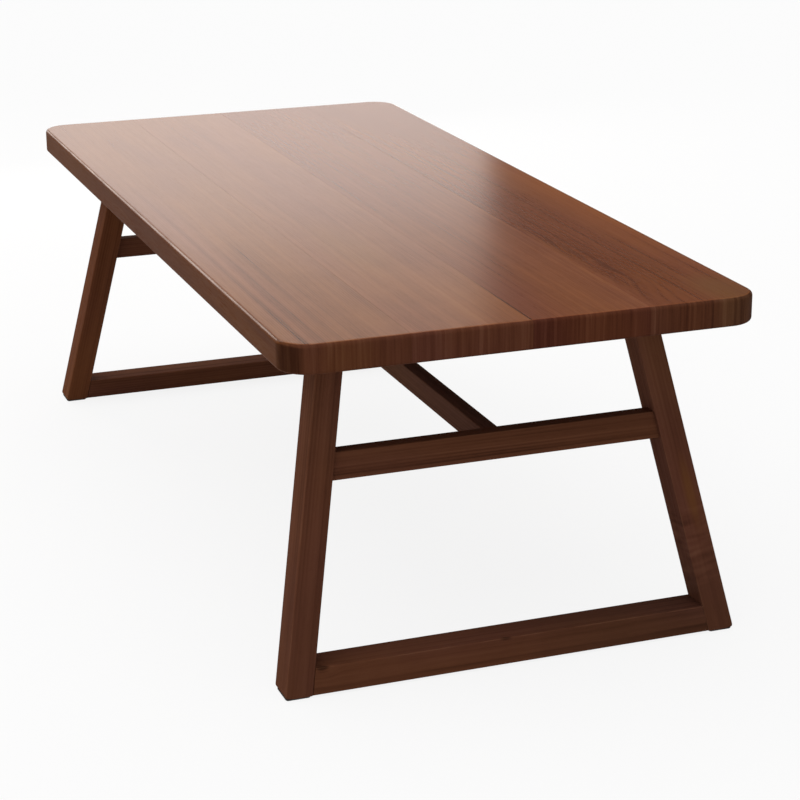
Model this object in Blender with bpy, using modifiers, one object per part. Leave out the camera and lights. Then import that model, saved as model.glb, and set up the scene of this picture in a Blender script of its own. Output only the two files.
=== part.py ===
# Dining table: a thick slab top on two raked trapezoid leg frames, joined by one long stretcher.
# Metres, +Z up. The length runs along X and the width along Y. The origin is on the floor, under
# the middle of the top. The near end is at +X, and the left side is at -Y.

import bmesh
import bpy
from math import copysign, cos, pi, radians, sin
from mathutils import Matrix

# Overall size
TABLE_LENGTH = 2.200
TABLE_WIDTH = 1.000
TABLE_HEIGHT = 0.750

# Top: boards glued edge to edge, with a loose tongue hidden in each seam
TOP_THICKNESS = 0.060
TOP_CORNER_RADIUS = 0.065
TOP_EDGE_RADIUS = 0.009
UNDER_EDGE_RADIUS = 0.007
BOARD_COUNT = 4
TONGUE_THICKNESS = 0.012
TONGUE_WIDTH = 0.030
TONGUE_END_INSET = 0.080

# Leg frames: the feet stand further out than the tops, both along the table and across it.
# Each inset is measured from the edge of the top, at the floor and at the underside.
FOOT_END_INSET = 0.059
FRAME_END_INSET = 0.216
FOOT_SIDE_INSET = 0.002
LEG_SIDE_INSET = 0.135
LEG_WIDTH = 0.058
LEG_DEPTH = 0.070
LEG_EDGE_RADIUS = 0.003
TOE_RADIUS = 0.007

# Rails of a frame: the base rail fills the depth of the legs, and the others are set back
BASE_RAIL_HEIGHT = 0.053
BASE_TENON_THICKNESS = 0.024
CROSSBAR_TOP = 0.468
CROSSBAR_HEIGHT = 0.055
CROSSBAR_DEPTH = 0.033
CROSSBAR_SETBACK = 0.008
CROSSBAR_TENON_THICKNESS = 0.014
BEARER_HEIGHT = 0.050
BEARER_DEPTH = 0.050
BEARER_SETBACK = 0.010
BEARER_TENON_THICKNESS = 0.018
TENON_SHOULDER = 0.010
TENON_END_WALL = 0.022
RAIL_EDGE_RADIUS = 0.0025

# Stretcher between the crossbars, with a stub tenon at each end, locked by a wooden peg from below
STRETCHER_WIDTH = 0.036
STRETCHER_HEIGHT = 0.050
STRETCHER_TOP_DROP = 0.005
STRETCHER_TENON_THICKNESS = 0.018
STRETCHER_TENON_WALL = 0.012
STRETCHER_EDGE_RADIUS = 0.0025
PEG_DIAMETER = 0.006
PEG_GRIP = 0.004

# Foot pads
PAD_THICKNESS = 0.004
PAD_INSET = 0.003
PAD_CORNER_RADIUS = 0.006
PAD_EDGE_CHAMFER = 0.0012

# Bolts that hold the top: up through the bearers into threaded inserts in the boards. The outer
# ones stand in slots, so that the top can swell and shrink across its width.
BOLT_DIAMETER = 0.008
BOLT_TIP_CHAMFER = 0.001
BOLT_HEAD_DIAMETER = 0.017
BOLT_HEAD_HEIGHT = 0.0046
BOLT_HEAD_RIM = 0.0012
BOLT_HEAD_FLAT_DIAMETER = 0.0092
BOLT_SOCKET_WIDTH = 0.005
BOLT_SOCKET_DEPTH = 0.0028
BOLT_END_INSET = 0.030
BOLT_SPACING = 0.150
BOLT_SLOT_TRAVEL = 0.003
COUNTERBORE_DEPTH = 0.014
COUNTERBORE_MARGIN = 0.0015
INSERT_DIAMETER = 0.014
INSERT_LENGTH = 0.018
INSERT_FLANGE_DIAMETER = 0.018
INSERT_FLANGE_THICKNESS = 0.0016

# Clearance left between pieces that touch, and how far a cutter passes the face that it opens
GAP = 0.0003
CUT_PAST = 0.004

# Fineness of the rounded shapes
CORNER_STEPS = 16
EDGE_STEPS = 5
HEAD_STEPS = 3
TURNED_STEPS = 20
SHARP_ANGLE = radians(30)

# Points closer together than this are one point
SAME_POINT = 0.000001

UNDERSIDE = TABLE_HEIGHT - TOP_THICKNESS
BOARD_WIDTH = TABLE_WIDTH / BOARD_COUNT
ENDS = {"near": 1, "far": -1}
SIDES = {"left": -1, "right": 1}


# Scene set-up

def clear_scene():
    for obj in list(bpy.data.objects):
        bpy.data.objects.remove(obj, do_unlink=True)


def new_collection(name):
    collection = bpy.data.collections.new(name)
    bpy.context.scene.collection.children.link(collection)
    return collection


def new_material(name, colour, roughness, metallic=0.0):
    material = bpy.data.materials.new(name)
    material.use_nodes = True
    shader = material.node_tree.nodes["Principled BSDF"]
    shader.inputs["Base Color"].default_value = (*colour, 1.0)
    shader.inputs["Roughness"].default_value = roughness
    shader.inputs["Metallic"].default_value = metallic
    material.diffuse_color = (*colour, 1.0)
    return material


clear_scene()
TABLE_PARTS = new_collection("dining_table")
CUTTERS = new_collection("joinery_cutters")
ROOT = bpy.data.objects.new("dining_table_frame", None)
TABLE_PARTS.objects.link(ROOT)

TOP_WOOD = new_material("lacquered_top_wood", (0.21, 0.105, 0.062), 0.28)
FRAME_WOOD = new_material("lacquered_frame_wood", (0.105, 0.047, 0.029), 0.34)
INNER_WOOD = new_material("bare_joint_wood", (0.36, 0.22, 0.12), 0.65)
PAD_RUBBER = new_material("dark_foot_pad", (0.022, 0.020, 0.019), 0.80)
STEEL = new_material("zinc_plated_steel", (0.58, 0.58, 0.56), 0.38, 1.0)


# Shared modelling steps

def mesh_from(bm, name):
    mesh = bpy.data.meshes.new(name)
    bmesh.ops.recalc_face_normals(bm, faces=bm.faces)
    bm.to_mesh(mesh)
    bm.free()
    mesh.shade_smooth()
    mesh.set_sharp_from_angle(angle=SHARP_ANGLE)
    return mesh


def add_part(name, mesh, material, location=(0.0, 0.0, 0.0)):
    if not mesh.materials:
        mesh.materials.append(material)
    part = bpy.data.objects.new(name, mesh)
    part.location = location
    part.parent = ROOT
    TABLE_PARTS.objects.link(part)
    return part


def add_cutter(name, mesh, location=(0.0, 0.0, 0.0)):
    cutter = bpy.data.objects.new(name, mesh)
    cutter.location = location
    cutter.hide_render = True
    cutter.display_type = "WIRE"
    CUTTERS.objects.link(cutter)
    return cutter


def boolean(part, operation, tool):
    modifier = part.modifiers.new(f"{operation.lower()} {tool.name}", "BOOLEAN")
    modifier.operation = operation
    modifier.solver = "EXACT"
    modifier.object = tool


def skewed_box(low, high, x_sides, y_sides):
    """A box whose sides may lean: x_sides and y_sides give its two sides at a height."""
    bm = bmesh.new()
    bmesh.ops.create_cube(bm, size=2.0)
    for vert in bm.verts:
        z = high if vert.co.z > 0 else low
        x = max(x_sides(z)) if vert.co.x > 0 else min(x_sides(z))
        y = max(y_sides(z)) if vert.co.y > 0 else min(y_sides(z))
        vert.co = (x, y, z)
    return bm


def round_edges(bm, edges, radius, steps=EDGE_STEPS):
    bmesh.ops.bevel(bm, geom=edges, offset=radius, offset_type="OFFSET",
                    segments=steps, profile=0.5, affect="EDGES")


def round_long_edges(bm, radius):
    """Rounds the four edges that run along the piece, and leaves its ends square."""
    round_edges(bm, sorted(bm.edges, key=lambda edge: edge.calc_length())[-4:], radius)


def edges_at(bm, z):
    """The edges that lie at height z."""
    return [edge for edge in bm.edges if all(abs(v.co.z - z) < SAME_POINT for v in edge.verts)]


def turned(name, profile):
    """A mesh turned round Z from a closed outline of (radius, height) points."""
    mesh = bpy.data.meshes.new(name)
    count = len(profile)
    mesh.from_pydata([(r, 0.0, z) for r, z in profile],
                     [(i, (i + 1) % count) for i in range(count)], [])
    blank = bpy.data.objects.new(name + "_profile", mesh)
    CUTTERS.objects.link(blank)
    screw = blank.modifiers.new("turn", "SCREW")
    screw.angle = 2 * pi
    screw.steps = TURNED_STEPS
    screw.render_steps = TURNED_STEPS
    screw.use_merge_vertices = True
    screw.merge_threshold = SAME_POINT
    return finished(blank, name)


def finished(blank, name):
    """The mesh of an object with its modifiers applied. The object itself is removed."""
    graph = bpy.context.evaluated_depsgraph_get()
    mesh = bpy.data.meshes.new_from_object(blank.evaluated_get(graph))
    bpy.data.objects.remove(blank, do_unlink=True)
    bm = bmesh.new()
    bm.from_mesh(mesh)
    bpy.data.meshes.remove(mesh)
    bmesh.ops.remove_doubles(bm, verts=bm.verts, dist=SAME_POINT)
    return mesh_from(bm, name)


def cylinder(diameter, low, high, segments=TURNED_STEPS):
    bm = bmesh.new()
    bmesh.ops.create_cone(bm, cap_ends=True, segments=segments, radius1=diameter / 2,
                          radius2=diameter / 2, depth=high - low,
                          matrix=Matrix.Translation((0.0, 0.0, (low + high) / 2)))
    return bm


# Lines of the leg frames, worked out at any height

def frame_face(z):
    """X of the outer face of the near leg frame at height z."""
    lean = (FRAME_END_INSET - FOOT_END_INSET) * z / UNDERSIDE
    return TABLE_LENGTH / 2 - FOOT_END_INSET - lean


def leg_side(z):
    """Y of the outer side of the right-hand legs at height z."""
    lean = (LEG_SIDE_INSET - FOOT_SIDE_INSET) * z / UNDERSIDE
    return TABLE_WIDTH / 2 - FOOT_SIDE_INSET - lean


def leg_inner_side(z):
    return leg_side(z) - LEG_WIDTH


def frame_band(end, setback, depth, grow=0.0):
    """The two X sides of a piece that lies in a frame, set back from its outer face."""
    def sides(z):
        outer = frame_face(z) - setback + grow
        return end * outer, end * (outer - depth - 2 * grow)
    return sides


def across(reach):
    """The two Y sides of a piece that lies across the table, from its reach at a height."""
    def sides(z):
        return -reach(z), reach(z)
    return sides


def even_band(width):
    def sides(z):
        return -width / 2, width / 2
    return sides


# Top

def top_slab():
    bm = bmesh.new()
    middle = Matrix.Translation((0.0, 0.0, UNDERSIDE + TOP_THICKNESS / 2))
    size = Matrix.Diagonal((TABLE_LENGTH, TABLE_WIDTH, TOP_THICKNESS, 1.0))
    bmesh.ops.create_cube(bm, size=1.0, matrix=middle @ size)
    corners = [e for e in bm.edges if abs(e.verts[0].co.z - e.verts[1].co.z) > TOP_THICKNESS / 2]
    round_edges(bm, corners, TOP_CORNER_RADIUS, CORNER_STEPS)
    round_edges(bm, edges_at(bm, TABLE_HEIGHT), TOP_EDGE_RADIUS)
    round_edges(bm, edges_at(bm, UNDERSIDE), UNDER_EDGE_RADIUS)
    return bm


def cut_away(bm, y, direction):
    """Cuts the mesh at y, removes what lies on that side and closes the cut."""
    whole = bm.verts[:] + bm.edges[:] + bm.faces[:]
    bmesh.ops.bisect_plane(bm, geom=whole, plane_co=(0.0, y, 0.0),
                           plane_no=(0.0, direction, 0.0), clear_outer=True)
    bmesh.ops.holes_fill(bm, edges=[edge for edge in bm.edges if edge.is_boundary])


def seam(index):
    """Y of the seam after so many boards, counted from the left edge."""
    return index * BOARD_WIDTH - TABLE_WIDTH / 2


def make_boards():
    boards = []
    for index in range(BOARD_COUNT):
        bm = top_slab()
        if index > 0:
            cut_away(bm, seam(index) + GAP / 2, -1)
        if index < BOARD_COUNT - 1:
            cut_away(bm, seam(index + 1) - GAP / 2, 1)
        name = f"top_board_{index + 1}"
        boards.append(add_part(name, mesh_from(bm, name), TOP_WOOD))
    return boards


def tongue_box(index, grow=0.0):
    half_thickness = TONGUE_THICKNESS / 2 + grow
    half_width = TONGUE_WIDTH / 2 + grow
    half_length = TABLE_LENGTH / 2 - TONGUE_END_INSET + grow
    middle = UNDERSIDE + TOP_THICKNESS / 2
    return skewed_box(middle - half_thickness, middle + half_thickness,
                      lambda z: (-half_length, half_length),
                      lambda z: (seam(index) - half_width, seam(index) + half_width))


def make_tongues(boards):
    for index in range(1, BOARD_COUNT):
        name = f"top_tongue_{index}"
        add_part(name, mesh_from(tongue_box(index), name), INNER_WOOD)
        groove = add_cutter(f"tongue_groove_{index}", mesh_from(tongue_box(index, GAP), name))
        for board in boards[index - 1:index + 1]:
            boolean(board, "DIFFERENCE", groove)


# Legs and foot pads

def leg_arrises(bm, foot, head):
    """The edges round the faces that look along the table, apart from those at foot and head."""
    bm.normal_update()
    faces = [f for f in bm.faces if abs(f.normal.x) > abs(f.normal.y) + abs(f.normal.z)]
    ends = edges_at(bm, foot) + edges_at(bm, head)
    return [edge for face in faces for edge in face.edges if edge not in ends]


def make_legs():
    legs = {}
    foot = PAD_THICKNESS + GAP
    head = UNDERSIDE - GAP
    for end_name, end in ENDS.items():
        for side_name, side in SIDES.items():
            name = f"leg_{end_name}_{side_name}"
            bm = skewed_box(foot, head, frame_band(end, 0.0, LEG_DEPTH),
                            lambda z: (side * leg_inner_side(z), side * leg_side(z)))
            toe = max(edges_at(bm, foot), key=lambda edge: sum(side * v.co.y for v in edge.verts))
            round_edges(bm, [toe], TOE_RADIUS)
            round_edges(bm, leg_arrises(bm, foot, head), LEG_EDGE_RADIUS)
            legs[end_name, side_name] = add_part(name, mesh_from(bm, name), FRAME_WOOD)
    return legs


def pad_mesh():
    bm = bmesh.new()
    size = (LEG_DEPTH - 2 * PAD_INSET, LEG_WIDTH - 2 * PAD_INSET, PAD_THICKNESS)
    bmesh.ops.create_cube(bm, size=1.0, matrix=Matrix.Diagonal((*size, 1.0)))
    bmesh.ops.translate(bm, verts=bm.verts, vec=(0.0, 0.0, PAD_THICKNESS / 2))
    corners = [e for e in bm.edges if abs(e.verts[0].co.z - e.verts[1].co.z) > PAD_THICKNESS / 2]
    round_edges(bm, corners, PAD_CORNER_RADIUS)
    round_edges(bm, edges_at(bm, 0.0), PAD_EDGE_CHAMFER, 1)
    return mesh_from(bm, "foot_pad")


def make_pads():
    mesh = pad_mesh()
    x = frame_face(PAD_THICKNESS) - LEG_DEPTH / 2
    y = leg_side(PAD_THICKNESS) - LEG_WIDTH / 2
    for end_name, end in ENDS.items():
        for side_name, side in SIDES.items():
            add_part(f"foot_pad_{end_name}_{side_name}", mesh, PAD_RUBBER, (end * x, side * y, 0.0))


# Rails across each frame, with a tenon at both ends that lies in a mortise in the leg

def make_rail(name, end_name, legs, bottom, height, depth, setback, tenon_thickness):
    end = ENDS[end_name]
    body = skewed_box(bottom, bottom + height, frame_band(end, setback, depth),
                      across(lambda z: leg_inner_side(z) - GAP))
    round_long_edges(body, RAIL_EDGE_RADIUS)
    rail = add_part(f"{name}_{end_name}", mesh_from(body, name), FRAME_WOOD)

    tenon_low = bottom + TENON_SHOULDER
    tenon_high = bottom + height - TENON_SHOULDER
    tenon_setback = setback + (depth - tenon_thickness) / 2
    tenon_length = LEG_WIDTH - TENON_END_WALL
    tenon = skewed_box(tenon_low, tenon_high, frame_band(end, tenon_setback, tenon_thickness),
                       across(lambda z: leg_inner_side(z) + tenon_length))
    boolean(rail, "UNION", add_cutter(f"{name}_{end_name}_tenon", mesh_from(tenon, name)))

    mortise = skewed_box(tenon_low - GAP, tenon_high + GAP,
                         frame_band(end, tenon_setback, tenon_thickness, GAP),
                         across(lambda z: leg_inner_side(z) + tenon_length + GAP))
    mortise_cutter = add_cutter(f"{name}_{end_name}_mortise", mesh_from(mortise, name))
    for side_name in SIDES:
        boolean(legs[end_name, side_name], "DIFFERENCE", mortise_cutter)
    return rail


def make_rails(legs):
    bearers = {}
    crossbars = {}
    for end_name in ENDS:
        make_rail("base_rail", end_name, legs, PAD_THICKNESS + GAP, BASE_RAIL_HEIGHT,
                  LEG_DEPTH, 0.0, BASE_TENON_THICKNESS)
        crossbars[end_name] = make_rail("crossbar", end_name, legs, CROSSBAR_TOP - CROSSBAR_HEIGHT,
                                        CROSSBAR_HEIGHT, CROSSBAR_DEPTH, CROSSBAR_SETBACK,
                                        CROSSBAR_TENON_THICKNESS)
        bearers[end_name] = make_rail("top_bearer", end_name, legs, UNDERSIDE - GAP - BEARER_HEIGHT,
                                      BEARER_HEIGHT, BEARER_DEPTH, BEARER_SETBACK,
                                      BEARER_TENON_THICKNESS)
    return bearers, crossbars


# Stretcher and its pegs

def make_stretcher(crossbars):
    high = CROSSBAR_TOP - STRETCHER_TOP_DROP
    low = high - STRETCHER_HEIGHT
    tenon_low = low + TENON_SHOULDER
    tenon_high = high - TENON_SHOULDER
    tenon_length = CROSSBAR_DEPTH - STRETCHER_TENON_WALL

    def shoulder(z):
        return frame_face(z) - CROSSBAR_SETBACK - CROSSBAR_DEPTH

    body = skewed_box(low, high, across(lambda z: shoulder(z) - GAP), even_band(STRETCHER_WIDTH))
    round_long_edges(body, STRETCHER_EDGE_RADIUS)
    stretcher = add_part("stretcher", mesh_from(body, "stretcher"), FRAME_WOOD)

    tenon = skewed_box(tenon_low, tenon_high, across(lambda z: shoulder(z) + tenon_length),
                       even_band(STRETCHER_TENON_THICKNESS))
    boolean(stretcher, "UNION", add_cutter("stretcher_tenon", mesh_from(tenon, "stretcher")))

    mortise = skewed_box(tenon_low - GAP, tenon_high + GAP,
                         across(lambda z: shoulder(z) + tenon_length + GAP),
                         even_band(STRETCHER_TENON_THICKNESS + 2 * GAP))
    mortise_cutter = add_cutter("stretcher_mortise", mesh_from(mortise, "stretcher"))

    peg_low = CROSSBAR_TOP - CROSSBAR_HEIGHT
    peg_high = tenon_high + PEG_GRIP
    peg_x = shoulder((tenon_low + tenon_high) / 2) + tenon_length / 2
    peg_mesh = mesh_from(cylinder(PEG_DIAMETER, peg_low, peg_high), "stretcher_peg")
    hole = cylinder(PEG_DIAMETER + 2 * GAP, peg_low - CUT_PAST, peg_high + GAP)
    hole_mesh = mesh_from(hole, "peg_hole")
    for end_name, end in ENDS.items():
        boolean(crossbars[end_name], "DIFFERENCE", mortise_cutter)
        place = (end * peg_x, 0.0, 0.0)
        add_part(f"stretcher_peg_{end_name}", peg_mesh, INNER_WOOD, place)
        peg_hole = add_cutter(f"peg_hole_{end_name}", hole_mesh, place)
        boolean(crossbars[end_name], "DIFFERENCE", peg_hole)
        boolean(stretcher, "DIFFERENCE", peg_hole)


# Bolts through the bearers, and the threaded inserts that they run into

def bolt_mesh(seat, tip):
    """A button-headed bolt whose head bears up against the seat."""
    head = BOLT_HEAD_DIAMETER / 2
    flat = BOLT_HEAD_FLAT_DIAMETER / 2
    shank = BOLT_DIAMETER / 2
    low = seat - BOLT_HEAD_HEIGHT
    dome = BOLT_HEAD_HEIGHT - BOLT_HEAD_RIM
    profile = [(0.0, tip), (shank - BOLT_TIP_CHAMFER, tip), (shank, tip - BOLT_TIP_CHAMFER),
               (shank, seat), (head, seat)]
    for step in range(HEAD_STEPS + 1):
        turn = step * pi / 2 / HEAD_STEPS
        profile.append((flat + (head - flat) * cos(turn), low + dome - dome * sin(turn)))
    profile.append((0.0, low))
    bolt = bpy.data.objects.new("bolt_blank", turned("bolt_blank", profile))
    CUTTERS.objects.link(bolt)
    socket = cylinder(BOLT_SOCKET_WIDTH, low - CUT_PAST, low + BOLT_SOCKET_DEPTH, 6)
    socket_cutter = add_cutter("bolt_socket", mesh_from(socket, "bolt_socket"))
    boolean(bolt, "DIFFERENCE", socket_cutter)
    mesh = finished(bolt, "bearer_bolt")
    bpy.data.objects.remove(socket_cutter, do_unlink=True)
    return mesh


def insert_mesh(bore):
    """A flanged threaded sleeve, with its flange under the board and its body up inside it."""
    body = INSERT_DIAMETER / 2
    flange = INSERT_FLANGE_DIAMETER / 2
    seat = UNDERSIDE + INSERT_FLANGE_THICKNESS
    profile = [(bore, UNDERSIDE), (bore, UNDERSIDE + INSERT_LENGTH),
               (body, UNDERSIDE + INSERT_LENGTH), (body, seat), (flange, seat), (flange, UNDERSIDE)]
    return turned("threaded_insert", profile)


def insert_hole_mesh():
    """The stepped hole in a board that takes an insert and the tip of its bolt."""
    body = INSERT_DIAMETER / 2 + GAP
    flange = INSERT_FLANGE_DIAMETER / 2 + GAP
    seat = UNDERSIDE + INSERT_FLANGE_THICKNESS + GAP
    top = UNDERSIDE + INSERT_LENGTH + GAP
    profile = [(0.0, top), (body, top), (body, seat), (flange, seat),
               (flange, UNDERSIDE - CUT_PAST), (0.0, UNDERSIDE - CUT_PAST)]
    return turned("insert_hole", profile)


def bolt_hole_mesh(seat, bottom, travel):
    """The counterbored hole through a bearer, drawn out along Y by the travel to both sides."""
    bore = BOLT_DIAMETER / 2 + GAP
    counterbore = BOLT_HEAD_DIAMETER / 2 + COUNTERBORE_MARGIN
    profile = [(0.0, UNDERSIDE + CUT_PAST), (bore, UNDERSIDE + CUT_PAST), (bore, seat),
               (counterbore, seat), (counterbore, bottom - CUT_PAST), (0.0, bottom - CUT_PAST)]
    mesh = turned("bolt_hole", profile)
    mesh.transform(Matrix.Rotation(pi / TURNED_STEPS, 4, "Z"))
    for vert in mesh.vertices:
        if vert.co.y != 0.0:  # the middle of the end caps stays in place
            vert.co.y += copysign(travel, vert.co.y)
    return mesh


def make_bolts(boards, bearers):
    bottom = UNDERSIDE - GAP - BEARER_HEIGHT
    seat = bottom + COUNTERBORE_DEPTH
    bolt = bolt_mesh(seat - GAP, UNDERSIDE + INSERT_LENGTH)
    insert = insert_mesh(BOLT_DIAMETER / 2 + GAP)
    insert_hole = insert_hole_mesh()
    round_hole = bolt_hole_mesh(seat, bottom, 0.0)
    slot = bolt_hole_mesh(seat, bottom, BOLT_SLOT_TRAVEL)
    x = frame_face(seat) - BEARER_SETBACK - BEARER_DEPTH / 2
    outer = leg_inner_side(seat) - BOLT_END_INSET
    inner = outer - BOLT_SPACING
    row = ((-outer, slot), (-inner, round_hole), (inner, round_hole), (outer, slot))
    for end_name, end in ENDS.items():
        for number, (y, bolt_hole) in enumerate(row, 1):
            place = (end * x, y, 0.0)
            label = f"{end_name}_{number}"
            add_part(f"bearer_bolt_{label}", bolt, STEEL, place)
            add_part(f"threaded_insert_{label}", insert, STEEL, place)
            boolean(bearers[end_name], "DIFFERENCE", add_cutter(f"bolt_hole_{label}", bolt_hole, place))
            hole = add_cutter(f"insert_hole_{label}", insert_hole, place)
            for index, board in enumerate(boards):
                reach = INSERT_FLANGE_DIAMETER / 2 + GAP
                if seam(index) - reach < y < seam(index + 1) + reach:
                    boolean(board, "DIFFERENCE", hole)


def main():
    boards = make_boards()
    make_tongues(boards)
    legs = make_legs()
    make_pads()
    bearers, crossbars = make_rails(legs)
    make_stretcher(crossbars)
    make_bolts(boards, bearers)


main()
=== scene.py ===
import bmesh
import bpy
from math import cos, pi, radians, sin
from mathutils import Matrix, Vector
from types import SimpleNamespace


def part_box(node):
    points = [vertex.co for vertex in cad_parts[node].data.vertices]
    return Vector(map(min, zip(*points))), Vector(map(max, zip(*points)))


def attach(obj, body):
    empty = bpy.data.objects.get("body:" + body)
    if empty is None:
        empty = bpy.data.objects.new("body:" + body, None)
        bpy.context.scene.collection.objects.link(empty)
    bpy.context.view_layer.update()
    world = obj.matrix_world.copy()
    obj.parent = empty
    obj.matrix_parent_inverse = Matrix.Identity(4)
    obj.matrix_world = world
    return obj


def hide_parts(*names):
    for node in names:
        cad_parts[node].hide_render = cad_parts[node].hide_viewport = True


# Dining table with a thick plank top on two raked leg frames: lacquered brown wood, dark foot pads.
# Metres, +Z up. The near end is at +X and the left side at -Y, as in the frame.

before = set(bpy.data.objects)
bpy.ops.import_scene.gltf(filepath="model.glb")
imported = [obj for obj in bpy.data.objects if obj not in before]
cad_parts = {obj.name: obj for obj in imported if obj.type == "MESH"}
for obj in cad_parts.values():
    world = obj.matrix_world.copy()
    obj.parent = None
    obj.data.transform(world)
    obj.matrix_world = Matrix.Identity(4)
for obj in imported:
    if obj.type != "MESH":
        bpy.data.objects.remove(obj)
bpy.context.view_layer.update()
print("frame:", len(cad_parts), "nodes")


# Node trees

noiseMiddle = 0.5  # a noise runs from 0 to 1
white = (1.0, 1.0, 1.0)


class Wire:  # an output socket that takes part in sums
    def __init__(self, shop, socket):
        self.shop = shop
        self.socket = socket

    def __add__(self, other):
        return self.shop.maths("ADD", self, other)

    def __radd__(self, other):
        return self.shop.maths("ADD", other, self)

    def __sub__(self, other):
        return self.shop.maths("SUBTRACT", self, other)

    def __rsub__(self, other):
        return self.shop.maths("SUBTRACT", other, self)

    def __mul__(self, other):
        return self.shop.maths("MULTIPLY", self, other)

    def __rmul__(self, other):
        return self.shop.maths("MULTIPLY", other, self)

    def __truediv__(self, other):
        return self.shop.maths("DIVIDE", self, other)

    def __rtruediv__(self, other):
        return self.shop.maths("DIVIDE", other, self)

    def __pow__(self, other):
        return self.shop.maths("POWER", self, other)

    def __rpow__(self, other):
        return self.shop.maths("POWER", other, self)

    def __abs__(self):
        return self.shop.maths("ABSOLUTE", self)


class NodeShop:  # adds nodes to one tree
    def __init__(self, tree):
        self.tree = tree

    def node(self, kind, settings=None, sockets=None, out=0):
        made = self.tree.nodes.new(kind)
        for key, value in (settings or {}).items():
            if key == "stops":
                self.setStops(made.color_ramp, value)
            else:
                setattr(made, key, value)
        self.fill(made, sockets or {})
        if isinstance(out, tuple):
            return [Wire(self, made.outputs[name]) for name in out]
        return Wire(self, made.outputs[out])

    def fill(self, made, sockets):  # links, numbers, vectors, and colours of three values
        for key, value in sockets.items():
            socket = made.inputs[key]
            if isinstance(value, Wire):
                self.tree.links.new(value.socket, socket)
            elif socket.type == "RGBA":
                socket.default_value = (*value, 1.0)
            else:
                socket.default_value = value

    def setStops(self, ramp, stops):
        while len(ramp.elements) < len(stops):
            ramp.elements.new(0.5)  # moved to its place below
        for element, (place, colour) in zip(ramp.elements, stops):
            element.position = place
            element.color = (*colour, 1.0)

    def maths(self, operation, first, second=0.0):
        return self.node("ShaderNodeMath", {"operation": operation}, {0: first, 1: second})

    def step(self, value, low, high):  # smooth, from 0 at low to 1 at high
        return self.node("ShaderNodeMapRange", {"interpolation_type": "SMOOTHSTEP"},
                         {"Value": value, "From Min": low, "From Max": high})

    def noise(self, place, stretch, detail=1.0, rough=0.5):  # stretch: features per metre on each axis
        scaled = self.node("ShaderNodeVectorMath", {"operation": "MULTIPLY"}, {0: place, 1: stretch})
        return self.node("ShaderNodeTexNoise", {},
                         {"Vector": scaled, "Scale": 1.0, "Detail": detail, "Roughness": rough})

    def centred(self, place, stretch, detail=1.0, rough=0.5):  # noise about zero
        return self.noise(place, stretch, detail, rough) - noiseMiddle

    def dot(self, first, second):
        return self.node("ShaderNodeVectorMath", {"operation": "DOT_PRODUCT"},
                         {0: first, 1: second}, out="Value")

    def length(self, *parts):
        return sum(part * part for part in parts) ** 0.5

    def mix(self, share, first, second, blend="MIX"):
        return self.node("ShaderNodeMix", {"data_type": "RGBA", "blend_type": blend},
                         {0: share, 6: first, 7: second}, out=2)

    def tinted(self, colour, tint, share=1.0):
        return self.mix(share, colour, tint, "MULTIPLY")

    def grey(self, value):
        return self.node("ShaderNodeCombineColor", {}, {0: value, 1: value, 2: value})

    def bump(self, height, strength, depth):
        return self.node("ShaderNodeBump", {}, {"Height": height, "Strength": strength, "Distance": depth})


def newFinish(name):
    material = bpy.data.materials.new(name)
    material.use_nodes = True
    return material, NodeShop(material.node_tree), material.node_tree.nodes["Principled BSDF"]


# Wood stains. side: painted shade, a darker and less blue colour on faces by how far they turn from looking
# up.
# coat: the lacquer, glossy on faces that look up and dull on the sawn ends.

topStain = {
    "coating": "lacquered",
    "stops": [(0.0, (0.430, 0.176, 0.078)), (0.35, (0.335, 0.124, 0.052)),
              (0.62, (0.258, 0.088, 0.036)), (1.0, (0.112, 0.035, 0.016))],
    "worn": (0.36, 0.160, 0.085), "wear": 0.14,
    "endTint": (0.763, 0.768, 1.10),
    # side: painted shade on the top's side faces and roundovers
    "side": {"tint": (0.456, 0.410, 0.367), "from": 0.85, "to": 0.997},
    "roughness": 0.55, "specular": 0.03,
    "coat": {"weight": 1.0, "roughness": 0.20,
             "upFrom": 0.40, "upTo": 0.70, "endFrom": 0.03, "endTo": 0.22},
}

# The frame is the top's wood; its darker stops are painted shade for the frame under the top.
frameStainWithPaintedShade = {
    "coating": "lacquered",
    "stops": [(0.0, (0.184, 0.076, 0.044)), (0.35, (0.145, 0.055, 0.0318)),
              (0.62, (0.111, 0.0405, 0.0230)), (1.0, (0.050, 0.0187, 0.0110))],
    "worn": (0.24, 0.108, 0.060), "wear": 0.35,
    "endTint": (0.75, 0.75, 0.75),
    "side": None,
    "roughness": 0.68, "specular": 0.013,
    "coat": {"weight": 0.015, "roughness": 0.35,
             "upFrom": 0.45, "upTo": 0.95, "endFrom": 0.12, "endTo": 0.50},
}

bareStain = {
    "coating": "bare",
    "stops": [(0.0, (0.52, 0.34, 0.19)), (0.35, (0.45, 0.28, 0.15)),
              (0.62, (0.38, 0.22, 0.11)), (1.0, (0.22, 0.12, 0.06))],
    "worn": (0.50, 0.34, 0.20), "wear": 0.20,
    "endTint": (0.85, 0.85, 0.85),
    "side": None,
    "roughness": 0.70, "specular": 0.20,
    "coat": None,
}

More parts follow.
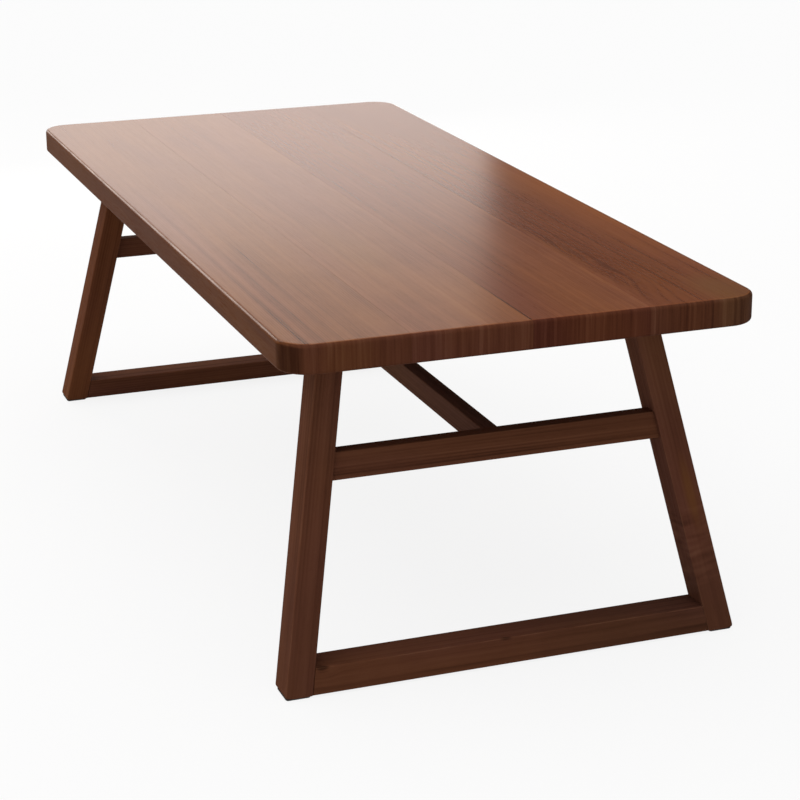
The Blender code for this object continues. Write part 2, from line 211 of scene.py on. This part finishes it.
grain = {  # scales: features per metre along the grain, across it and through the piece
    "base": 0.42, "fine": {"detail": 3.0, "rough": 0.6},
    "wanderScale": (0.55, 1.3, 1.3), "wanderStep": 1.37,
    "bandRate": 0.42, "bandDetail": 2.0, "bandRough": 0.60, "bandShare": 0.75,
    "lateStart": 0.15, "lateEnd": 0.80, "lateShare": 0.34, "lateLeast": 0.35,
    "lateReachScale": (1.8, 7.0, 7.0), "lateReachFrom": 0.36, "lateReachTo": 0.62, "lateFaint": 0.20,
    "streakScale": (2.2, 36.0, 36.0), "streakShare": 0.46,
    "broadScale": (1.1, 12.0, 12.0), "broadShare": 0.34,
    "fibreScale": (8.0, 430.0, 430.0), "fibreShare": 0.22, "fibreRough": 0.18, "fibreHeight": 0.5,
    "poreScale": (34.0, 820.0, 820.0), "poreFrom": 0.58, "poreTo": 0.70,
    "poreShare": 0.12, "poreInLate": 0.4, "poreRough": 0.16, "poreDull": 0.05,
    "figureScale": (16.0, 5.0, 9.0), "flameScale": (66.0, 14.0, 14.0), "flameCore": 0.5,
    "driftScale": (1.6, 5.5, 5.5), "driftDetail": 2.0, "driftFrom": 0.34, "driftTo": 0.66,
    "golden": (1.07, 1.05, 0.90), "red": (0.96, 0.92, 0.98),
    "endFrom": 0.12, "endTo": 0.50, "endRough": 0.12,
    "endLineScale": (2.0, 150.0, 4.0), "endLineShare": 1.2,
    "endBandScale": (1.0, 22.0, 2.0), "endBandShare": 0.60,
    "paleLineScale": (3.0, 105.0, 2.5), "paleLineFrom": 0.56, "paleLineTo": 0.70, "paleLineShare": 0.30,
    "knotFlow": 1.1, "knotFlowFrom": 0.3, "knotFlowTo": 3.4, "knotCoreFrom": 0.1, "knotCoreTo": 1.5,
    "patchCore": 0.2, "lineCore": 0.35,
    "rubScale": (7.0, 40.0, 40.0), "rubDetail": 3.0, "rubFrom": 0.38, "rubTo": 0.66,
    "rubRough": 0.08, "rubDull": 0.35,
    "arrisFrom": 0.62, "arrisTo": 0.98, "underFrom": -0.5, "underTo": -0.2,
    "lateHeight": 0.25, "bumpDepth": 0.00025, "bumpStrength": 0.22, "coatIor": 1.75,
}

plainCut = {  # what a piece has where its own cut says nothing else
    "turn": (0.0, 0.0, 0.0), "shiftStep": (0.0, 0.0, 0.0),
    "wander": 0.015, "contrast": 0.80, "late": 1.0, "tone": 0.0, "figure": 0.10,
    "ripple": 0.0032, "rippleScale": (3.5, 42.0, 42.0),
    "tint": (1.0, 1.0, 1.0), "endTint": None,
    "knots": [], "lines": [], "patches": [], "flame": None, "corner": None,
}


def readSpot(wood, cut):  # where a point lies in the piece, and which way its face looks
    place, normal = wood.node("ShaderNodeTexCoord", out=("Object", "Normal"))
    local = wood.node("ShaderNodeMapping", {"vector_type": "TEXTURE"},
                      {"Vector": place, "Location": cut["centre"], "Rotation": cut["turn"]})
    along, across, deep = wood.node("ShaderNodeSeparateXYZ", {}, {0: local}, out=("X", "Y", "Z"))
    own = wood.node("ShaderNodeVectorMath", {"operation": "ADD"}, {0: local, 1: cut["shift"]})
    up = wood.node("ShaderNodeSeparateXYZ", {}, {0: normal}, out="Z")
    end = abs(wood.dot(normal, cut["grainAxis"]))
    endFace = wood.step(end, grain["endFrom"], grain["endTo"])
    sway = wood.centred(own, grain["wanderScale"])
    return SimpleNamespace(along=along, across=across, deep=deep, own=own, normal=normal,
                           up=up, end=end, endFace=endFace, sway=sway)


def growthRings(wood, spot, cut):  # years counted from a pith that wanders beside the piece
    lift = wood.centred(spot.own, [grain["wanderStep"] * rate for rate in grain["wanderScale"]])
    side = spot.across - cut["pith"][0] + spot.sway * cut["wander"]
    rise = spot.deep - cut["pith"][1] + lift * cut["wander"]
    radius = wood.length(side, rise) + wood.centred(spot.own, cut["rippleScale"]) * cut["ripple"]
    knotCore = 0.0
    for knot in cut["knots"]:  # the rings flow round a knot or a swirl
        away = wood.length((spot.along - knot["along"]) / knot["stretch"],
                           spot.across - knot["across"], spot.deep - knot["deep"]) / knot["size"]
        flow = 1.0 - wood.step(away, grain["knotFlowFrom"], grain["knotFlowTo"])
        radius = radius + flow * knot["size"] * grain["knotFlow"]
        core = 1.0 - wood.step(away, grain["knotCoreFrom"], grain["knotCoreTo"])
        knotCore = core * knot["core"] + knotCore
    return radius / cut["spacing"], knotCore


def lateWood(wood, rings):  # the dark part of each year
    year = wood.maths("FRACT", rings)
    begun = wood.step(year, grain["lateStart"], grain["lateEnd"])
    return begun * (1.0 - wood.step(year, grain["lateEnd"], 1.0))


def longFaceTone(wood, spot, cut, rings, late):
    bands = wood.node("ShaderNodeTexNoise", {"noise_dimensions": "1D"},
                      {"W": rings * grain["bandRate"], "Scale": 1.0,
                       "Detail": grain["bandDetail"], "Roughness": grain["bandRough"]}) - noiseMiddle
    yearTone = wood.node("ShaderNodeTexWhiteNoise", {"noise_dimensions": "1D"},
                         {"W": wood.maths("FLOOR", rings)})
    lateReach = wood.step(wood.noise(spot.own, grain["lateReachScale"]),
                          grain["lateReachFrom"], grain["lateReachTo"])
    yearShare = late * (grain["lateLeast"] + yearTone * (1.0 - grain["lateLeast"]))
    yearShare = yearShare * (grain["lateFaint"] + lateReach * (1.0 - grain["lateFaint"]))
    streak = (wood.centred(spot.own, grain["streakScale"], **grain["fine"]) * grain["streakShare"]
              + wood.centred(spot.own, grain["broadScale"]) * grain["broadShare"])
    figure = wood.centred(spot.own, grain["figureScale"]) * cut["figure"]
    if cut["flame"]:  # bars of figure across one stretch of the piece
        away = abs(spot.along - cut["flame"]["along"]) / cut["flame"]["reach"]
        inside = 1.0 - wood.step(away, grain["flameCore"], 1.0)
        figure = figure + wood.centred(spot.own, grain["flameScale"]) * inside * cut["flame"]["share"]
    return (bands * grain["bandShare"] * cut["contrast"]
            + yearShare * grain["lateShare"] * cut["late"] + streak + figure)


def endGrainTone(wood, spot):
    pale = wood.step(wood.noise(spot.own, grain["paleLineScale"]),
                     grain["paleLineFrom"], grain["paleLineTo"])
    return (wood.centred(spot.own, grain["endLineScale"], **grain["fine"]) * grain["endLineShare"]
            + wood.centred(spot.own, grain["endBandScale"]) * grain["endBandShare"]
            - pale * grain["paleLineShare"])


def lineTone(wood, spot, line):  # a pale or dark streak, or a line beside a seam
    away = abs(spot.across + spot.sway * line["sway"] - line["across"]) / line["width"]
    beside = 1.0 - wood.step(away, grain["lineCore"], 1.0)
    return beside * wood.step(spot.along, line["from"], line["to"]) * (1.0 - spot.endFace) * line["share"]


def patchInside(wood, spot, patch):  # 1 in the middle of a patch, 0 outside it
    away = wood.length((spot.along - patch["along"]) / patch["long"],
                       (spot.across - patch["across"]) / patch["wide"])
    return 1.0 - wood.step(away, grain["patchCore"], 1.0)


def rubbedArrises(wood, spot, cut):  # where hands rub the stain thin and the lacquer dull
    facing = abs(wood.dot(spot.normal, cut["edgeAxis"]))
    turned = 2.0 * facing * abs(1.0 - facing * facing) ** 0.5  # 1 halfway round an arris
    rub = wood.step(wood.noise(spot.own, grain["rubScale"], grain["rubDetail"]),
                    grain["rubFrom"], grain["rubTo"])
    above = wood.step(spot.up, grain["underFrom"], grain["underTo"])
    return wood.step(turned, grain["arrisFrom"], grain["arrisTo"]) * rub * above


def woodFinish(name, cut, stain):
    material, wood, shader = newFinish(name)
    spot = readSpot(wood, cut)
    rings, knotCore = growthRings(wood, spot, cut)
    late = lateWood(wood, rings)
    fibre = wood.centred(spot.own, grain["fibreScale"], **grain["fine"])
    pores = wood.step(wood.noise(spot.own, grain["poreScale"]), grain["poreFrom"], grain["poreTo"])
    pores = pores * (1.0 - late * (1.0 - grain["poreInLate"]))
    patches = [(patch, patchInside(wood, spot, patch)) for patch in cut["patches"]]

    # darkness of the wood, as a place on the stain's ramp
    faceTone = longFaceTone(wood, spot, cut, rings, late)
    poreTone = pores * grain["poreShare"]
    for patch, inside in patches:
        if "calm" in patch:
            rest = 1.0 - inside * patch["calm"]
            faceTone = faceTone * rest
            poreTone = poreTone * rest
    endTone = endGrainTone(wood, spot)
    tone = (grain["base"] + cut["tone"] + faceTone + (endTone - faceTone) * spot.endFace
            + fibre * grain["fibreShare"] + poreTone + knotCore)
    for line in cut["lines"]:
        tone = tone + lineTone(wood, spot, line)
    colour = wood.node("ShaderNodeValToRGB", {"stops": stain["stops"]}, {0: tone})

    # slow drift between a golden and a red brown
    drift = wood.step(wood.noise(spot.own, grain["driftScale"], grain["driftDetail"]),
                      grain["driftFrom"], grain["driftTo"])
    golden, red = ([a * b for a, b in zip(grain[hue], cut["tint"])] for hue in ("golden", "red"))
    colour = wood.tinted(colour, wood.mix(drift, golden, red))
    for patch, inside in patches:
        if "tint" in patch:
            colour = wood.tinted(colour, patch["tint"], inside)

    # wear, the stain that the sawn ends drink, and painted shade on faces that turn from looking up and on
    # one corner
    rubbed = rubbedArrises(wood, spot, cut)
    colour = wood.mix(rubbed * stain["wear"], colour, stain["worn"])
    # painted shade: faces that turn from looking up take the darker side tint
    if stain["side"]:
        clearOfPaintedShade = wood.step(spot.up, stain["side"]["from"], stain["side"]["to"])
        colour = wood.tinted(colour, wood.mix(clearOfPaintedShade, stain["side"]["tint"], white))
    # painted shade: a darker band on one rounded corner of the top
    if cut["corner"]:
        aim = wood.dot(spot.normal, cut["corner"]["towards"])
        toCorner = wood.step(aim, cut["corner"]["from"], cut["corner"]["to"])
        colour = wood.tinted(colour, wood.grey(1.0 - toCorner * (1.0 - cut["corner"]["shade"])))
    colour = wood.tinted(colour, cut["endTint"] or stain["endTint"], spot.endFace)

    roughness = (stain["roughness"] + fibre * grain["fibreRough"] + pores * grain["poreRough"]
                 + rubbed * grain["rubRough"] + spot.endFace * grain["endRough"])
    height = fibre * grain["fibreHeight"] - pores - late * grain["lateHeight"]
    wood.fill(shader, {"Base Color": colour, "Roughness": roughness,
                       "Normal": wood.bump(height, grain["bumpStrength"], grain["bumpDepth"]),
                       "Specular IOR Level": stain["specular"]})
    if stain["coat"]:
        coat = stain["coat"]
        gloss = wood.step(spot.up, coat["upFrom"], coat["upTo"]) * coat["weight"]
        clear = (1.0 - rubbed * grain["rubDull"]) * (1.0 - pores * grain["poreDull"])
        clear = clear * (1.0 - wood.step(spot.end, coat["endFrom"], coat["endTo"]))
        wood.fill(shader, {"Coat Weight": gloss * clear, "Coat Roughness": coat["roughness"],
                           "Coat IOR": grain["coatIor"]})
    return material


# Other finishes

rubberLook = {
    "dark": (0.012, 0.010, 0.009), "light": (0.034, 0.030, 0.027), "scuff": (0.060, 0.054, 0.048),
    "speckleScale": (900.0, 900.0, 900.0), "speckleDetail": 3.0, "speckleRough": 0.65,
    "scuffScale": (70.0, 70.0, 25.0), "scuffDetail": 3.0,
    "scuffFrom": 0.45, "scuffTo": 0.75, "scuffShare": 0.5,
    "roughness": 0.70, "speckleSpan": 0.2,
    "bumpStrength": 0.4, "bumpDepth": 0.0003,
}


def rubberFinish(name):
    material, rubber, shader = newFinish(name)
    place = rubber.node("ShaderNodeTexCoord", out="Object")
    speckle = rubber.noise(place, rubberLook["speckleScale"],
                           rubberLook["speckleDetail"], rubberLook["speckleRough"])
    scuff = rubber.step(rubber.noise(place, rubberLook["scuffScale"], rubberLook["scuffDetail"]),
                        rubberLook["scuffFrom"], rubberLook["scuffTo"])
    colour = rubber.mix(speckle, rubberLook["dark"], rubberLook["light"])
    rubber.fill(shader, {
        "Base Color": rubber.mix(scuff * rubberLook["scuffShare"], colour, rubberLook["scuff"]),
        "Roughness": rubberLook["roughness"] + speckle * rubberLook["speckleSpan"],
        "Normal": rubber.bump(speckle, rubberLook["bumpStrength"], rubberLook["bumpDepth"])})
    return material


steelLook = {
    "grey": (0.50, 0.50, 0.51), "warm": (0.68, 0.67, 0.62),
    "bloomScale": (160.0, 160.0, 160.0), "bloomDetail": 3.0, "bloomRough": 0.6,
    "scratchScale": (2600.0, 500.0, 900.0), "scratchDetail": 2.0,
    "roughness": 0.24, "bloomSpan": 0.16, "scratchSpan": 0.10,
    "bumpStrength": 0.15, "bumpDepth": 0.0001,
}


def steelFinish(name):
    material, steel, shader = newFinish(name)
    place = steel.node("ShaderNodeTexCoord", out="Object")
    bloom = steel.noise(place, steelLook["bloomScale"], steelLook["bloomDetail"], steelLook["bloomRough"])
    scratch = steel.noise(place, steelLook["scratchScale"], steelLook["scratchDetail"])
    steel.fill(shader, {
        "Base Color": steel.mix(bloom, steelLook["grey"], steelLook["warm"]),
        "Roughness": (steelLook["roughness"] + bloom * steelLook["bloomSpan"]
                      + scratch * steelLook["scratchSpan"]),
        "Metallic": 1.0,
        "Normal": steel.bump(scratch, steelLook["bumpStrength"], steelLook["bumpDepth"])})
    return material


# Pieces

shape = {"mergeDistance": 0.00002, "flatAngle": radians(0.4), "sharpAngle": radians(38), "flatWeight": 90}


def camel(nodeName):
    first, *rest = nodeName.split("_")
    return first + "".join(word.capitalize() for word in rest)


def dressNode(nodeName, finish):
    bm = bmesh.new()
    bm.from_mesh(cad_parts[nodeName].data)
    bmesh.ops.remove_doubles(bm, verts=bm.verts, dist=shape["mergeDistance"])
    bmesh.ops.dissolve_limit(bm, angle_limit=shape["flatAngle"], verts=bm.verts, edges=bm.edges)
    mesh = bpy.data.meshes.new(camel(nodeName))
    bm.to_mesh(mesh)
    bm.free()
    mesh.shade_smooth()
    mesh.set_sharp_from_angle(angle=shape["sharpAngle"])
    mesh.materials.append(finish)
    piece = bpy.data.objects.new(camel(nodeName), mesh)
    bpy.context.scene.collection.objects.link(piece)
    weigh = piece.modifiers.new("flats shade flat", "WEIGHTED_NORMAL")
    weigh.mode = "FACE_AREA"
    weigh.weight = shape["flatWeight"]
    weigh.keep_sharp = True
    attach(piece, "root")
    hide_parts(nodeName)


def boxCentre(nodeName):
    low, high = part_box(nodeName)
    return (low + high) / 2


def dressWood(nodeName, number, cut, stain):  # the number moves each piece to wood of its own
    shift = [start + step * number for start, step in zip(cut["shiftStart"], cut["shiftStep"])]
    cut = {**cut, "centre": boxCentre(nodeName), "shift": shift}
    finishName = stain["coating"] + " " + nodeName.replace("_", " ")
    dressNode(nodeName, woodFinish(finishName, cut, stain))


# In a cut, pith is where the heart of the log lies beside the piece, across and up. spacing is a year's
# growth. A patch has a colour of its own or a calmer grain; some patches on the near legs and the near base
# rail are painted light and shade.

boardGroup = {**plainCut, "edgeAxis": (0.0, 0.0, 1.0), "grainAxis": (1.0, 0.0, 0.0),
              "shiftStart": (0.0, 0.0, 0.9), "shiftStep": (3.1, 1.7, 0.0)}
cornerAim = radians(-58)
farCalm = {"along": -0.75, "across": 0.0, "long": 1.45, "wide": 0.60, "calm": 0.55}
boardCuts = {
    "top_board_1": {
        "pith": (0.85, 0.10), "spacing": 0.0054, "wander": 0.020, "contrast": 0.40, "late": 0.85,
        "tint": (1.03, 1.06, 0.97),
        "patches": [{"along": 0.40, "across": -0.070, "long": 0.95, "wide": 0.055,
                     "tint": (1.04, 1.07, 1.34)},
                    farCalm],
        "lines": [{"across": -0.076, "width": 0.010, "from": -0.2, "to": 0.4, "share": 0.16, "sway": 0.03},
                  {"across": -0.046, "width": 0.014, "from": 0.0, "to": 0.5, "share": 0.15, "sway": 0.05},
                  {"across": -0.008, "width": 0.010, "from": 0.1, "to": 0.6, "share": 0.13, "sway": 0.06}],
        # painted shade on the near-left rounded corner
        "corner": {"towards": (cos(cornerAim), sin(cornerAim), 0.0),
                   "from": 0.78, "to": 0.97, "shade": 0.50}},
    "top_board_2": {
        "pith": (-0.70, -0.05), "spacing": 0.0051, "wander": 0.018, "contrast": 0.38, "late": 0.80,
        "tone": -0.03,
        "patches": [{"along": 0.45, "across": -0.02, "long": 0.35, "wide": 0.09,
                     "tint": (1.0, 1.06, 0.92), "calm": 0.3},
                    farCalm],
        "lines": [{"across": 0.124, "width": 0.004, "from": 0.75, "to": 1.0, "share": 0.45, "sway": 0.0}]},
    "top_board_3": {
        "pith": (0.55, -0.12), "spacing": 0.0055, "wander": 0.030, "contrast": 0.46, "late": 0.80,
        "tone": 0.02, "tint": (0.94, 0.87, 0.86),
        "patches": [{"along": 0.95, "across": -0.09, "long": 0.40, "wide": 0.10,
                     "tint": (0.88, 0.82, 0.84)},
                    farCalm],
        "lines": [{"across": 0.121, "width": 0.007, "from": -0.3, "to": 0.4, "share": -0.22, "sway": 0.0}]},
    "top_board_4": {
        "pith": (-0.60, -0.10), "spacing": 0.0120, "wander": 0.045, "contrast": 0.62, "late": 0.72,
        "tone": 0.12, "tint": (0.96, 0.86, 0.76), "endTint": (0.886, 1.089, 1.69),
        "ripple": 0.0075, "rippleScale": (2.6, 12.0, 12.0),
        "patches": [{"along": 1.03, "across": 0.070, "long": 0.16, "wide": 0.085,
                     "tint": (0.88, 1.10, 1.02), "calm": 0.8},
                    {"along": 0.85, "across": -0.06, "long": 0.50, "wide": 0.090,
                     "tint": (0.85, 0.79, 0.75)},
                    {"along": 0.15, "across": 0.12, "long": 1.00, "wide": 0.125,
                     "tint": (1.28, 1.28, 1.04), "calm": 0.6},
                    farCalm],
        "knots": [{"along": 1.10, "across": -0.115, "deep": 0.03,
                   "size": 0.034, "stretch": 2.2, "core": 0.0},
                  {"along": 0.79, "across": -0.100, "deep": 0.03,
                   "size": 0.011, "stretch": 3.2, "core": 0.0},
                  {"along": 0.66, "across": -0.112, "deep": 0.03,
                   "size": 0.012, "stretch": 4.0, "core": 0.0}]},
}


def makeBoards():
    for number, (nodeName, cut) in enumerate(boardCuts.items()):
        dressWood(nodeName, number, {**boardGroup, **cut}, topStain)


legGroup = {**plainCut, "contrast": 0.45, "late": 0.70, "edgeAxis": (1.0, 0.0, 0.0),
            "shiftStart": (11.0, 0.0, 0.0), "shiftStep": (2.3, 0.7, 1.9)}
legCuts = {
    "leg_near_left": {
        "pith": (0.16, 0.10), "spacing": 0.0060, "tone": 0.03,
        # both patches: painted light on the upper leg under the top, painted shade on the lower leg
        "patches": [{"along": 0.28, "across": 0.0, "long": 0.24, "wide": 0.30,
                     "tint": (1.12, 1.16, 1.18)},
                    {"along": -0.26, "across": 0.0, "long": 0.24, "wide": 0.30,
                     "tint": (0.88, 0.88, 0.86)}]},
    "leg_near_right": {
        "pith": (-0.11, 0.07), "spacing": 0.0066, "tone": 0.01,
        "flame": {"along": -0.175, "reach": 0.11, "share": 1.15},
        "patches": [{"along": -0.06, "across": 0.004, "long": 0.11, "wide": 0.018,
                     "tint": (1.18, 1.22, 0.84), "calm": 0.5},
                    # this patch and the next: painted light on the upper leg under the top, painted shade
                    # on the lower leg
                    {"along": 0.27, "across": 0.0, "long": 0.24, "wide": 0.30,
                     "tint": (1.24, 1.32, 1.30)},
                    {"along": -0.32, "across": 0.0, "long": 0.20, "wide": 0.30,
                     "tint": (0.80, 0.83, 0.82)}]},
    "leg_far_left": {"pith": (0.20, -0.12), "spacing": 0.0062, "tone": -0.10, "tint": (1.02, 0.95, 0.80)},
    "leg_far_right": {"pith": (-0.15, 0.13), "spacing": 0.0058, "tone": 0.01},
}


def legTurn(nodeName):  # the grain runs up the leg
    up = (boxCentre(nodeName) - boxCentre(nodeName.replace("leg", "foot_pad"))).normalized()
    width = (Vector((0.0, 1.0, 0.0)) - up * up.y).normalized()
    return Matrix((up, width, up.cross(width))).transposed().to_euler("XYZ"), up


def makeLegs():
    for number, (nodeName, cut) in enumerate(legCuts.items()):
        turn, up = legTurn(nodeName)
        cut = {**legGroup, **cut, "turn": turn, "grainAxis": up}
        dressWood(nodeName, number, cut, frameStainWithPaintedShade)


railGroup = {**plainCut, "turn": (0.0, 0.0, pi / 2),
             "edgeAxis": (0.0, 0.0, 1.0), "grainAxis": (0.0, 1.0, 0.0),
             "shiftStart": (23.0, 0.0, 0.0), "shiftStep": (1.9, 0.6, 1.3)}
railCuts = {
    "base_rail_near": {
        "pith": (0.09, -0.10), "spacing": 0.0060, "tone": 0.09, "figure": 0.12,
        # painted shade: darker towards the rail's right end, beside the leg
        "patches": [{"along": 0.36, "across": 0.0, "long": 0.45, "wide": 0.30,
                     "tint": (0.80, 0.86, 0.88)}]},
    "base_rail_far": {"pith": (-0.08, -0.12), "spacing": 0.0062, "tone": 0.08, "figure": 0.12},
    "crossbar_near": {"pith": (0.10, 0.12), "spacing": 0.0056, "tone": 0.03},
    "crossbar_far": {"pith": (-0.09, 0.14), "spacing": 0.0058, "tone": 0.02},
    "top_bearer_near": {"pith": (0.08, 0.10), "spacing": 0.0060},
    "top_bearer_far": {"pith": (0.10, -0.09), "spacing": 0.0060},
}
railKnots = {  # places in the table's own frame, this far inside the rail's outer face
    "inset": 0.012,
    "base_rail_near": [{"y": -0.416, "z": 0.056, "size": 0.0100, "stretch": 1.5, "core": 0.50},
                       {"y": -0.020, "z": 0.057, "size": 0.0045, "stretch": 3.0, "core": 0.55}],
}


def makeRails():
    for number, (nodeName, cut) in enumerate(railCuts.items()):
        centre = boxCentre(nodeName)
        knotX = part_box(nodeName)[1].x - railKnots["inset"]
        knots = [{**knot, "along": knot["y"] - centre.y, "across": centre.x - knotX,
                  "deep": knot["z"] - centre.z} for knot in railKnots.get(nodeName, [])]
        dressWood(nodeName, number, {**railGroup, **cut, "knots": knots}, frameStainWithPaintedShade)


# The stretcher's greyer tint is painted shade, the cool grey of the shade under the top.
stretcherCut = {**plainCut, "pith": (0.07, 0.11), "spacing": 0.0058,
                "tone": 0.02, "tint": (1.12, 1.34, 1.42),
                "edgeAxis": (0.0, 0.0, 1.0), "grainAxis": (1.0, 0.0, 0.0), "shiftStart": (41.0, 2.0, 3.0)}


def makeStretcher():
    dressWood("stretcher", 0, stretcherCut, frameStainWithPaintedShade)


tongueCut = {**plainCut, "pith": (0.06, 0.04), "spacing": 0.0030,
             "figure": 0.05, "wander": 0.010, "contrast": 0.70,
             "edgeAxis": (0.0, 0.0, 1.0), "grainAxis": (1.0, 0.0, 0.0),
             "shiftStart": (53.0, 1.0, 2.0), "shiftStep": (1.0, 0.0, 0.0)}
pegCut = {**tongueCut, "turn": (0.0, -pi / 2, 0.0), "grainAxis": (0.0, 0.0, 1.0)}


def makeJointWood():
    for number, nodeName in enumerate(sorted(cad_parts)):
        for start, cut in (("top_tongue", tongueCut), ("stretcher_peg", pegCut)):
            if nodeName.startswith(start):
                dressWood(nodeName, number, cut, bareStain)


def makeSmallParts():
    rubber = rubberFinish("dark foot pad rubber")
    steel = steelFinish("zinc plated steel")
    for nodeName in sorted(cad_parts):
        if nodeName.startswith("foot_pad"):
            dressNode(nodeName, rubber)
        if nodeName.startswith(("bearer_bolt", "threaded_insert")):
            dressNode(nodeName, steel)


for make in (makeBoards, makeLegs, makeRails, makeStretcher, makeJointWood, makeSmallParts):
    make()


# Studio

floorLook = {"halfSize": 80.0, "drop": 0.0002,
             "bounce": (0.50, 0.50, 0.50), "seen": (0.95, 0.95, 0.95), "glow": 0.86}


def makeFloor():  # white to the eye and in reflections, grey in the light that it throws back
    bm = bmesh.new()
    bmesh.ops.create_grid(bm, x_segments=1, y_segments=1, size=floorLook["halfSize"])
    bmesh.ops.translate(bm, verts=bm.verts, vec=(0.0, 0.0, -floorLook["drop"]))
    mesh = bpy.data.meshes.new("floor")
    bm.to_mesh(mesh)
    bm.free()
    material, shop, shader = newFinish("pale floor")
    camera, glossy, through = shop.node("ShaderNodeLightPath",
                                        out=("Is Camera Ray", "Is Glossy Ray", "Is Transmission Ray"))
    seen = shop.maths("MAXIMUM", camera, shop.maths("MAXIMUM", glossy, through))
    shop.fill(shader, {"Base Color": shop.mix(seen, floorLook["bounce"], floorLook["seen"]),
                       "Roughness": 1.0, "Specular IOR Level": 0.0})
    glow = shop.node("ShaderNodeEmission", {}, {"Color": white, "Strength": 1.0})
    both = shop.node("ShaderNodeMixShader", {},
                     {0: seen * floorLook["glow"], 1: Wire(shop, shader.outputs[0]), 2: glow})
    shop.fill(material.node_tree.nodes["Material Output"], {"Surface": both})
    mesh.materials.append(material)
    floor = bpy.data.objects.new("floor", mesh)
    bpy.context.scene.collection.objects.link(floor)


worldLook = {
    "horizon": 0.97, "fadeFrom": 0.03, "fadeTo": 0.13,
    "sky": 0.02,
    "frontSky": 0.37, "frontFrom": -0.1, "frontTo": 0.8, "frontFadeTo": 0.46,
    "leftSky": 0.34, "leftFrom": 0.2, "leftTo": 0.9,
}


def makeWorld():  # pale at the horizon, dim above it, brighter on the near and left sides
    world = bpy.data.worlds.new("studio")
    world.use_nodes = True
    bpy.context.scene.world = world
    shop = NodeShop(world.node_tree)
    direction = shop.node("ShaderNodeTexCoord", out="Generated")
    ahead, right, height = shop.node("ShaderNodeSeparateXYZ", {}, {0: direction}, out=("X", "Y", "Z"))
    front = shop.step(ahead, worldLook["frontFrom"], worldLook["frontTo"])
    left = shop.step(0.0 - right, worldLook["leftFrom"], worldLook["leftTo"])
    sky = (worldLook["sky"] + front * (worldLook["frontSky"] - worldLook["sky"])
           + left * worldLook["leftSky"])
    fadeTo = worldLook["fadeTo"] + front * (worldLook["frontFadeTo"] - worldLook["fadeTo"])
    upper = shop.step(height, worldLook["fadeFrom"], fadeTo)
    strength = worldLook["horizon"] + upper * (sky - worldLook["horizon"])
    shop.fill(world.node_tree.nodes["Background"], {"Color": white, "Strength": strength})


lampLooks = {
    "skyLamp": {"kind": "SUN", "place": (-0.6, -0.54, 3.0), "aim": (0.0, 0.0, 0.0),
                "spread": radians(95), "energy": 2.08, "colour": white},
    "windowLamp": {"kind": "AREA", "place": (-4.14, 0.87, 1.25), "aim": (0.27, 1.67, 0.87),
                   "size": (2.6, 1.46), "energy": 13.7, "colour": (1.0, 0.92, 0.87)},
    "upperPaneLamp": {"kind": "AREA", "place": (-4.14, 0.87, 2.48), "aim": (0.27, 1.67, 2.10),
                      "size": (2.6, 1.0), "energy": 2.6, "colour": (1.0, 0.89, 0.78)},
    "highWindowLamp": {"kind": "AREA", "place": (-4.6, -1.55, 2.1), "aim": (0.0, -0.5, 0.75),
                       "size": (1.5, 1.7), "energy": 19.0, "colour": (1.0, 0.84, 0.76)},
}


def makeLamps():  # a soft sky, and panes whose reflection lies on the top and its left arris
    for name, look in lampLooks.items():
        data = bpy.data.lights.new(name, look["kind"])
        data.energy = look["energy"]
        data.color = look["colour"]
        if look["kind"] == "SUN":
            data.angle = look["spread"]
        else:
            data.shape = "RECTANGLE"
            data.size, data.size_y = look["size"]
        lamp = bpy.data.objects.new(name, data)
        lamp.location = look["place"]
        aim = Vector(look["aim"]) - Vector(look["place"])
        lamp.rotation_euler = aim.to_track_quat("-Z", "Y").to_euler()
        lamp.visible_camera = False
        bpy.context.scene.collection.objects.link(lamp)


viewpoint = {"place": (4.9175, -1.6744, 1.9763),
             "yaw": radians(159.86), "pitch": radians(-18.42), "roll": radians(-0.32),
             "focalPixels": 2258.8, "imagePixels": 800.0, "sensor": 36.0, "reach": 400.0}


def makeCamera():
    data = bpy.data.cameras.new("camera")
    data.sensor_width = viewpoint["sensor"]
    data.lens = viewpoint["focalPixels"] / viewpoint["imagePixels"] * viewpoint["sensor"]
    data.clip_end = viewpoint["reach"]
    camera = bpy.data.objects.new("camera", data)
    turn = (Matrix.Rotation(viewpoint["yaw"] - pi / 2, 4, "Z")
            @ Matrix.Rotation(pi / 2 + viewpoint["pitch"], 4, "X")
            @ Matrix.Rotation(viewpoint["roll"], 4, "Z"))
    camera.matrix_world = Matrix.Translation(viewpoint["place"]) @ turn
    bpy.context.scene.collection.objects.link(camera)
    bpy.context.scene.camera = camera


for make in (makeFloor, makeWorld, makeLamps, makeCamera):
    make()
    print(make.__name__, "done")
bpy.context.scene.view_settings.view_transform = "Standard"
